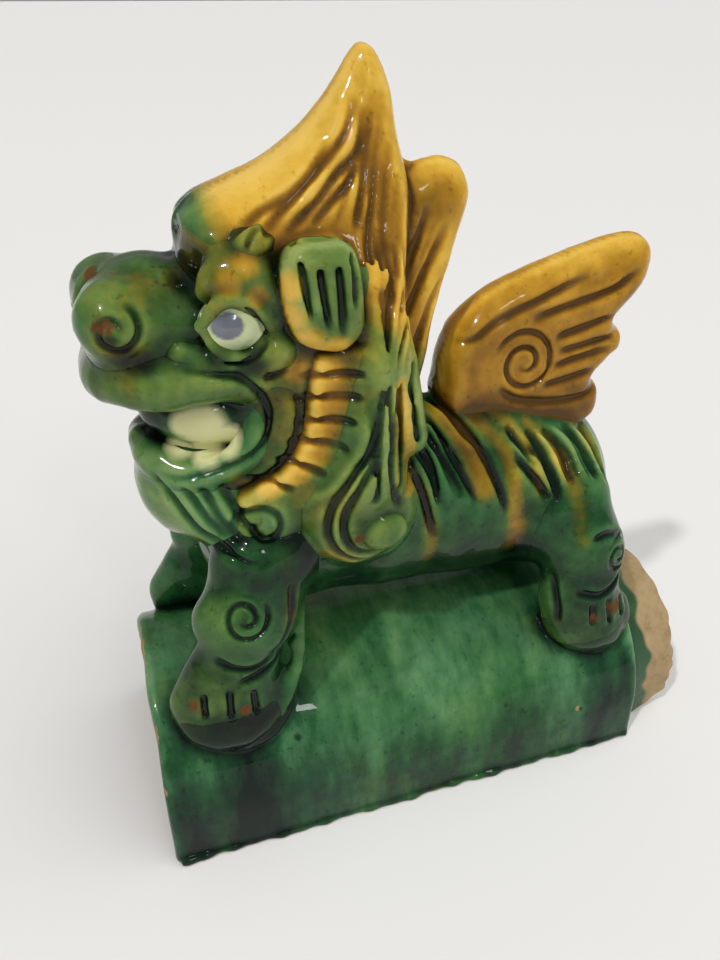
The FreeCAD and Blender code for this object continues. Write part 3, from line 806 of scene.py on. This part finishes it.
AMBER_RUNS = [
    ([(128, 172), (134, 163), (138, 154), (140, 146)], 9.0, 0.75),
    ([(140, 170), (147, 163), (151.5, 154), (154, 140), (156, 116)], 7.0, 0.55),
    ([(165, 163), (172, 155), (180, 141), (183, 118)], 7.0, 0.45),
    ([(150, 168), (158, 163), (163, 155), (166, 140)], 6.0, 0.45),
    ([(185, 163), (196, 150), (201, 140)], 6.0, 0.3),
    ([(110, 158), (114, 145), (117, 130), (117, 118)], 6.0, 0.5),
    ([(101, 198), (104, 180), (106, 166), (106, 155)], 6.0, 0.75),
    ([(98, 190), (99, 172), (97, 158)], 4.5, 0.45),
    ([(44, 166), (50, 160), (57, 156)], 5.0, 0.4),
    ([(56, 134), (57, 122), (57, 110)], 6.0, 0.35),
]
CREAM_SPOTS = [(25, 33, 187, 15), (25, 27, 188, 11), (25, 41, 180, 12), (22, 35, 175, 12),
               (17, 26, 174, 11)]
DARK_SPOTS = [(30, 41, 214, 8), (31, 50, 211.5, 8), (18, 33, 237, 8), (27, 12, 216, 7), (23, 17, 212, 7),
              (28, 8, 222, 5), (13, 17, 185, 13), (20, 21, 193, 8), (29, 59, 219, 6), (24, 63, 163, 6)]
BARE_SPOTS = [
    (27, 7, 227, 6), (3, 6, 236, 7), (42, 84, 141, 4), (46, 17, 79, 6), (49, 36, 75, 5.5),
    (47, 202, 80, 8), (48, 191, 78, 6), (55, 187, 30, 3), (19, 29, 173, 3),
]
TILE_RUNS = [(36, 12, 0.5), (24, 6, 0.15), (198, 13, 0.36), (214, 6, 0.22), (70, 6, 0.14), (92, 4, 0.1),
             (150, 9, 0.12), (128, 4, 0.08)]
# Extra darkness of each piece's glaze; the larger values on the legs and paws are partly painted shade,
# standing in for the shadow of the body.
SHADES = {"ridge_tile": 0.05, "foreleg": 0.32, "fore_paw": 0.6, "hindleg": 0.28, "hind_paw": 0.4,
          "torso": 0.16, "crest_front": 0.06, "crest_rear": 0.13, "tail_plume": 0.47, "muzzle": 0.15,
          "upper_lip": 0.2, "lower_jaw": 0.1, "beard": -0.12, "tress": 0.08, "ear": 0.12,
          "jaw_frill": 0.1, "brow": 0.28, "jowl": 0.27, "cheek": 0.22, "brow_bud": 0.25}
PLAIN_SHADE = 0.12


def shade_of(points, name):
    """How much darker than usual the glaze is drawn on a piece: its own tone, runs on the tile, darker low
    down on the tail and rear crest, and painted shade on the legs, paws, belly and lower tile flank.
    """
    _, y, z = points.T
    shade = np.full(len(points), SHADES.get(name, PLAIN_SHADE))
    if name == "ridge_tile":
        # Painted shade on the lower flank of the tile, and a darker bottom edge along the glaze beads.
        shade += 0.22 * ease(-z, -50.0, -20.0) + 0.3 * ease(-z, -6.0, -2.0)
        shade += 0.36 * ease(-y, -22.0, -8.0) * ease(-z, -84.0, -40.0)
        for place, width, dark in TILE_RUNS:
            run = np.exp(-np.square((y - place - 0.06 * (60.0 - z)) / width))
            shade += dark * run * ease(-z, -66.0, -40.0)
    if name == "torso":
        # Painted shade under the belly.
        shade += 0.45 * ease(-z, -128.0, -104.0)
        shade += 0.36 * np.exp(-np.square((y - 136.0) / 14.0) - np.square((z - 160.0) / 12.0))
    if name == "tail_plume":
        shade += 0.26 * ease(-z, -190.0, -165.0) - 0.1 * ease(z, 210.0, 232.0)
    if name == "crest_rear":
        shade += 0.26 * ease(-z, -235.0, -200.0)
    if name == "tress":
        shade += 0.12 * ease(z, 222.0, 240.0)
    if name == "crest_front":
        shade += 0.05 * ease(y - 0.3 * (z - 250.0), 80.0, 100.0)
    if name in ("skull", "crest_front"):
        shade += 0.25 * ease(z, 232.0, 242.0) * ease(-y - 0.3 * (z - 250.0), -56.0, -40.0)
    if name == "foreleg":
        # Painted shade on the top of the foreleg, under the chest.
        shade += 0.22 * ease(z, 118.0, 132.0)
    return shade + 0.5 * spots(points, DARK_SPOTS)


OLIVE_PIECES = ("cheek", "jowl", "muzzle", "upper_lip", "beard_curl", "brow_bud", "tress", "pearl", "neck")
OLIVE_LEAST = 0.26
SKULL_AMBER = [(31, 66, 206, 9), (31, 69, 240, 9)]
# Strength, least value and places of the amber on pieces that have it in spots.
AMBER_SPOTS = {
    "brow": (0.7, 0.3, [(32.5, 45.5, 238, 9), (32, 51, 243, 9), (32, 54, 233, 8)]),
    "ear": (1.0, 0.24, [(38, 62, 236, 10), (38, 62, 226, 12), (38, 67, 217, 13), (38, 77, 213, 11)]),
    "jaw_frill": (1.0, 0.4, [(35, 75, 204, 13), (35, 75, 195, 13), (35, 73, 186, 13), (35, 69, 176, 12),
                             (35, 63, 169, 11), (33, 54, 164, 10)]),
}


def amber_of(points, name):
    """How far the green of a piece gives way to amber."""
    _, y, z = points.T
    hairline = ease(y + 0.3 * (z - 250.0), 36.0, 58.0)
    if name == "crest_front":
        return hairline
    if name == "crest_rear":
        return ease(z, 186.0, 212.0)
    if name == "tail_plume":
        return np.ones(len(points))
    if name in AMBER_SPOTS:
        strength, least, places = AMBER_SPOTS[name]
        return np.maximum(strength * spots(points, places), least)
    if name == "skull":
        amber = np.maximum(hairline * ease(z, 240.0, 250.0), 0.7 * spots(points, SKULL_AMBER))
        return np.maximum(amber, OLIVE_LEAST + 0.1 * ease(z, 230.0, 245.0))
    amber = trails(points, AMBER_RUNS)
    if name in OLIVE_PIECES:
        amber = np.maximum(amber, OLIVE_LEAST)
    if name == "tress":
        amber = np.maximum(amber, ease(z + 0.6 * (y - 95.0), 204.0, 238.0))
    return amber


def cream_of(points, name):
    """Where the teeth, the gum and the eyeballs are cream."""
    if name == "teeth":
        return spots(points, CREAM_SPOTS)
    if name == "lower_jaw":
        return 0.8 * spots(points, CREAM_SPOTS)
    if name == "eyeball":
        return 0.9 - 0.6 * ease(-points[:, 2], -221.0, -214.0)
    return np.zeros(len(points))


def bare_of(points, name):
    """Where the clay is worn or was never glazed."""
    x, y, z = points.T
    if name == "tile_tongue":
        edge = 13.0 + 1.6 * np.sin(z * 0.21) + 1.2 * np.sin(x * 0.31) + 0.8 * np.sin(z * 0.55 + 1.0)
        return np.maximum(ease(y - TILE_LENGTH, edge - 1.0, edge + 1.0),
                          ease(-arch_distance(TILE_HALF - TILE_WALL, x, z), 3.0, 5.0))
    bare = spots(points, BARE_SPOTS)
    if name == "ridge_tile":
        inside = np.maximum(ease(-arch_distance(TILE_HALF, x, z), 5.0, 8.0), ease(-z, -1.5, -0.3))
        rim = ease(-y, -2.4, -0.6) * (0.5 + 0.3 * np.sin(z * 0.35)) * ease(z, 24.0, 50.0)
        bare = np.maximum(bare, np.maximum(inside, rim))
    return bare


def paint(points, name):
    """The painted masks of a piece of the lump called name."""
    return {"amber": amber_of(points, name), "cream": cream_of(points, name),
            "bare": bare_of(points, name), "shade": shade_of(points, name)}


class Nodes:
    """Small helper to write a node tree in few lines."""

    def __init__(self, name):
        self.material = bpy.data.materials.new(name)
        self.material.use_nodes = True
        self.tree = self.material.node_tree
        self.shader = self.tree.nodes["Principled BSDF"]

    def add(self, kind, **settings):
        node = self.tree.nodes.new(kind)
        for key, value in settings.items():
            setattr(node, key, value)
        return node

    def link(self, source, target):
        self.tree.links.new(source, target)

    def put(self, socket, value):
        if isinstance(value, bpy.types.NodeSocket):
            self.link(value, socket)
        else:
            socket.default_value = value

    def math(self, operation, a, b=0.0, c=0.0, clamp=False):
        node = self.add("ShaderNodeMath", operation=operation, use_clamp=clamp)
        for socket, value in zip(node.inputs, (a, b, c)):
            self.put(socket, value)
        return node.outputs[0]

    def remap(self, value, low, high, to_low=0.0, to_high=1.0):
        node = self.add("ShaderNodeMapRange", clamp=True)
        for key, number in (("Value", value), ("From Min", low), ("From Max", high),
                            ("To Min", to_low), ("To Max", to_high)):
            self.put(node.inputs[key], number)
        return node.outputs[0]

    def attribute(self, name):
        return self.add("ShaderNodeAttribute", attribute_name=name).outputs["Fac"]

    def coordinates(self, scale=(1, 1, 1)):
        place = self.add("ShaderNodeTexCoord").outputs["Object"]
        mapping = self.add("ShaderNodeMapping")
        mapping.inputs["Scale"].default_value = scale
        self.link(place, mapping.inputs["Vector"])
        return mapping.outputs[0]

    def noise(self, scale, detail=3.0, rough=0.5, stretch=(1, 1, 1)):
        node = self.add("ShaderNodeTexNoise")
        self.link(self.coordinates(stretch), node.inputs["Vector"])
        node.inputs["Scale"].default_value = scale
        node.inputs["Detail"].default_value = detail
        node.inputs["Roughness"].default_value = rough
        return node.outputs["Fac"]

    def ramp(self, value, stops):
        node = self.add("ShaderNodeValToRGB")
        elements = node.color_ramp.elements
        while len(elements) < len(stops):
            elements.new(0.5)
        for element, (place, colour) in zip(elements, stops):
            element.position = place
            element.color = (*colour, 1.0)
        self.put(node.inputs[0], value)
        return node.outputs[0]

    def mix(self, factor, a, b):
        node = self.add("ShaderNodeMix", data_type="RGBA")
        self.put(node.inputs["Factor"], factor)
        for socket, value in ((node.inputs[6], a), (node.inputs[7], b)):
            self.put(socket, value if isinstance(value, bpy.types.NodeSocket) else (*value, 1.0))
        return node.outputs[2]

    def bump(self, height, distance, normal=None):
        node = self.add("ShaderNodeBump")
        node.inputs["Distance"].default_value = distance
        self.link(height, node.inputs["Height"])
        if normal:
            self.link(normal, node.inputs["Normal"])
        return node.outputs[0]


GREEN = [(0.0, (0.16, 0.28, 0.10)), (0.2, (0.08, 0.19, 0.06)), (0.4, (0.034, 0.123, 0.036)),
         (0.6, (0.012, 0.064, 0.017)), (0.78, (0.004, 0.025, 0.008)), (1.0, (0.001, 0.007, 0.003))]
OLIVE = [(0.0, (0.34, 0.37, 0.09)), (0.2, (0.20, 0.23, 0.03)), (0.45, (0.085, 0.115, 0.010)),
         (0.7, (0.022, 0.035, 0.004)), (1.0, (0.003, 0.005, 0.002))]
AMBER = [(0.0, (0.76, 0.49, 0.10)), (0.2, (0.64, 0.385, 0.045)), (0.4, (0.45, 0.235, 0.017)),
         (0.6, (0.29, 0.138, 0.010)), (0.78, (0.17, 0.076, 0.006)), (1.0, (0.08, 0.037, 0.004))]
MOSS = [(0.0, (0.25, 0.32, 0.09)), (0.2, (0.14, 0.21, 0.043)), (0.4, (0.062, 0.12, 0.022)),
        (0.7, (0.012, 0.033, 0.007)), (1.0, (0.002, 0.006, 0.003))]
TEAL = [(0.0, (0.17, 0.33, 0.17)), (0.3, (0.075, 0.20, 0.09)), (0.6, (0.014, 0.072, 0.028)),
        (1.0, (0.001, 0.008, 0.005))]
CREAM = (0.66, 0.66, 0.34)
BISQUE = [(0.0, (0.42, 0.30, 0.15)), (0.55, (0.33, 0.235, 0.115)), (1.0, (0.18, 0.10, 0.04))]
CHIP = (0.115, 0.05, 0.018)
USUAL_DEPTH = 0.4


def glaze_depth_and_shade(nodes, streaky):
    """Thickness of the glaze: thin on ridges, thick in hollows, with specks and streaks; it also takes the
    shade attribute, which holds painted shade.
    """
    depth = USUAL_DEPTH
    for pool, _, _, weight in POOLS:
        depth = nodes.math("MULTIPLY_ADD", nodes.attribute(pool), weight, depth)
    specks = nodes.remap(nodes.noise(330.0, 2.0, 0.6), 0.62, 0.75, 0.0, 0.16)
    depth = nodes.math("ADD", depth, specks)
    # The shade attribute adds glaze tone, runs and painted shade under the body.
    depth = nodes.math("ADD", nodes.attribute("shade"), depth)
    if streaky:
        coarse, fine = nodes.noise(1.0, 3.0, 0.6, (12, 40, 12)), nodes.noise(1.0, 5.0, 0.6, (30, 90, 30))
    else:
        coarse, fine = nodes.noise(9.0, 2.0, 0.5), nodes.noise(34.0, 4.0, 0.6)
    depth = nodes.math("ADD", depth, nodes.remap(coarse, 0.35, 0.65, -0.11, 0.11))
    depth = nodes.math("ADD", depth, nodes.remap(fine, 0.3, 0.7, -0.16, 0.16))
    grain = nodes.remap(nodes.noise(130.0, 3.0, 0.6), 0.3, 0.7, -0.07, 0.07)
    return nodes.math("ADD", depth, grain, clamp=True)


def glaze_colour(nodes, depth, streaky):
    """Colour of the glaze by its depth, which holds the painted shade too, and the share of bare clay."""
    fleck = nodes.noise(70.0, 3.0, 0.6)
    veil = nodes.noise(26.0, 4.0, 0.65)
    amber = nodes.math("ADD", nodes.attribute("amber"), nodes.remap(veil, 0.3, 0.7, -0.22, 0.22))
    olive = nodes.remap(amber, 0.05, 0.5)
    amber = nodes.remap(amber, 0.3, 0.9)
    patches = nodes.remap(nodes.noise(11.0, 3.0, 0.6), 0.42, 0.68)
    green = nodes.mix(patches, nodes.ramp(depth, GREEN), nodes.ramp(depth, TEAL if streaky else MOSS))
    green = nodes.mix(olive, green, nodes.ramp(depth, OLIVE))
    colour = nodes.mix(amber, green, nodes.ramp(depth, AMBER))
    milky = nodes.math("ADD", nodes.attribute("cream"), nodes.remap(fleck, 0.3, 0.7, -0.12, 0.12))
    colour = nodes.mix(nodes.remap(milky, 0.3, 0.75), colour, CREAM)
    chips = nodes.noise(160.0, 4.0, 0.7)
    bare = nodes.math("ADD", nodes.attribute("bare"), nodes.remap(chips, 0.3, 0.7, -0.45, 0.45))
    bare = nodes.remap(bare, 0.5, 0.85)
    clay_colour = nodes.ramp(chips, BISQUE) if streaky else CHIP
    colour = nodes.mix(bare, colour, clay_colour)
    return colour, bare


def glaze(name, streaky=False):
    """Thick lead glaze over clay: pale where it runs thin on ridges, dark where it pools, and darker where
    shade is painted on.
    """
    nodes = Nodes(name)
    colour, bare = glaze_colour(nodes, glaze_depth_and_shade(nodes, streaky), streaky)
    nodes.link(colour, nodes.shader.inputs["Base Color"])
    nodes.link(nodes.remap(bare, 0.0, 1.0, 0.22, 0.75), nodes.shader.inputs["Roughness"])
    nodes.link(nodes.remap(bare, 0.0, 1.0, 0.4, 0.0), nodes.shader.inputs["Coat Weight"])
    nodes.shader.inputs["Coat Roughness"].default_value = 0.03
    nodes.shader.inputs["Specular IOR Level"].default_value = 0.06
    ripple = nodes.noise(240.0, 2.0)
    soft = nodes.bump(nodes.noise(60.0, 2.0), 0.0006)
    nodes.link(nodes.bump(ripple, 0.00012, normal=soft), nodes.shader.inputs["Normal"])
    return nodes.material


def eye_glaze():
    """Cream eyeball, with the grey-blue pupil drawn on its outer face."""
    nodes = Nodes("eye_glaze")
    blur = nodes.noise(90.0, 3.0)
    white = nodes.mix(nodes.remap(blur, 0.35, 0.65), (0.55, 0.60, 0.34), (0.42, 0.50, 0.24))
    low = nodes.remap(nodes.attribute("cream"), 0.4, 0.85)
    white = nodes.mix(low, (0.12, 0.20, 0.05), white)
    dark = nodes.mix(nodes.remap(blur, 0.3, 0.7), (0.07, 0.085, 0.11), (0.14, 0.155, 0.18))
    colour = nodes.mix(nodes.attribute("pupil"), white, dark)
    nodes.link(colour, nodes.shader.inputs["Base Color"])
    nodes.shader.inputs["Roughness"].default_value = 0.22
    nodes.shader.inputs["Coat Weight"].default_value = 0.9
    nodes.shader.inputs["Coat Roughness"].default_value = 0.03
    return nodes.material


def bare_clay():
    """The unglazed tongue, with the tile's glaze running out over its root."""
    nodes = Nodes("bisque_clay")
    grain = nodes.noise(140.0, 6.0, 0.7)
    clay_colour = nodes.ramp(nodes.remap(grain, 0.25, 0.8), BISQUE)
    green = nodes.ramp(nodes.noise(40.0, 3.0), [(0.0, (0.012, 0.05, 0.02)), (1.0, (0.03, 0.10, 0.03))])
    bare = nodes.attribute("bare")
    nodes.link(nodes.mix(bare, green, clay_colour), nodes.shader.inputs["Base Color"])
    nodes.link(nodes.remap(bare, 0.0, 1.0, 0.25, 0.9), nodes.shader.inputs["Roughness"])
    nodes.link(nodes.bump(grain, 0.0008), nodes.shader.inputs["Normal"])
    return nodes.material


def make_materials():
    return {
        "green_glaze": glaze("green_glaze"),
        "amber_glaze": glaze("amber_glaze"),
        "cream_glaze": glaze("cream_glaze"),
        "bisque_clay": bare_clay(),
        "ridge_tile": glaze("tile_glaze", streaky=True),
        "eyeball": eye_glaze(),
    }


# ---------------- floor, light, camera
def stage_set():
    nodes = Nodes("pale_floor")
    nodes.shader.inputs["Base Color"].default_value = (0.78, 0.77, 0.75, 1.0)
    nodes.shader.inputs["Roughness"].default_value = 0.8
    bpy.ops.mesh.primitive_plane_add(size=80.0, location=(0, 0, 0))
    floor = bpy.context.object
    floor.name = "floor"
    floor.data.materials.append(nodes.material)
    world = bpy.data.worlds.new("studio")
    bpy.context.scene.world = world
    world.use_nodes = True
    world.node_tree.nodes["Background"].inputs["Color"].default_value = (1.0, 0.99, 0.97, 1.0)
    world.node_tree.nodes["Background"].inputs["Strength"].default_value = 0.3


WINDOW_PLACE = Vector((2.6, 0.4, 2.1))
WINDOW_TARGET = Vector((0.0, 0.0, 0.15))
WINDOW_SIDE = 0.3


def add_window():
    light = bpy.data.lights.new("window", "AREA")
    light.shape = "RECTANGLE"
    light.size = light.size_y = WINDOW_SIDE
    light.energy = 5.0
    lamp = bpy.data.objects.new("window", light)
    lamp.location = WINDOW_PLACE
    lamp.rotation_euler = (WINDOW_TARGET - WINDOW_PLACE).to_track_quat("-Z", "Y").to_euler()
    bpy.context.collection.objects.link(lamp)


def add_sun(name, source, power, spread_degrees):
    light = bpy.data.lights.new(name, "SUN")
    light.energy = power
    light.angle = math.radians(spread_degrees)
    lamp = bpy.data.objects.new(name, light)
    lamp.rotation_euler = Vector(source).to_track_quat("Z", "Y").to_euler()
    bpy.context.collection.objects.link(lamp)
    return lamp


CAMERA_PLACE = (271.1, 7.7, 313.3)
CAMERA_AZIMUTH = 71.47
CAMERA_DOWN = 31.37
CAMERA_LENS = 30.0


def place_camera():
    data = bpy.data.cameras.new("camera")
    data.lens = CAMERA_LENS
    data.clip_start = 0.01
    camera = bpy.data.objects.new("camera", data)
    x, y, z = (MM * c for c in CAMERA_PLACE)
    camera.location = (x, y + TILE_FRONT, z)
    camera.rotation_euler = (math.radians(90.0 - CAMERA_DOWN), 0.0, math.radians(CAMERA_AZIMUTH))
    bpy.context.collection.objects.link(camera)
    bpy.context.scene.camera = camera


def main():
    bpy.context.scene.view_settings.view_transform = "Standard"
    place_camera()
    stage_set()
    add_window()
    add_sun("key", (0.32, -0.5, 0.8), 1.25, 3.0)
    add_sun("sky", (0.38, 0.42, 0.82), 1.75, 80.0).visible_glossy = False
    clay = sculpt()
    build_pieces(clay, make_materials())


main()
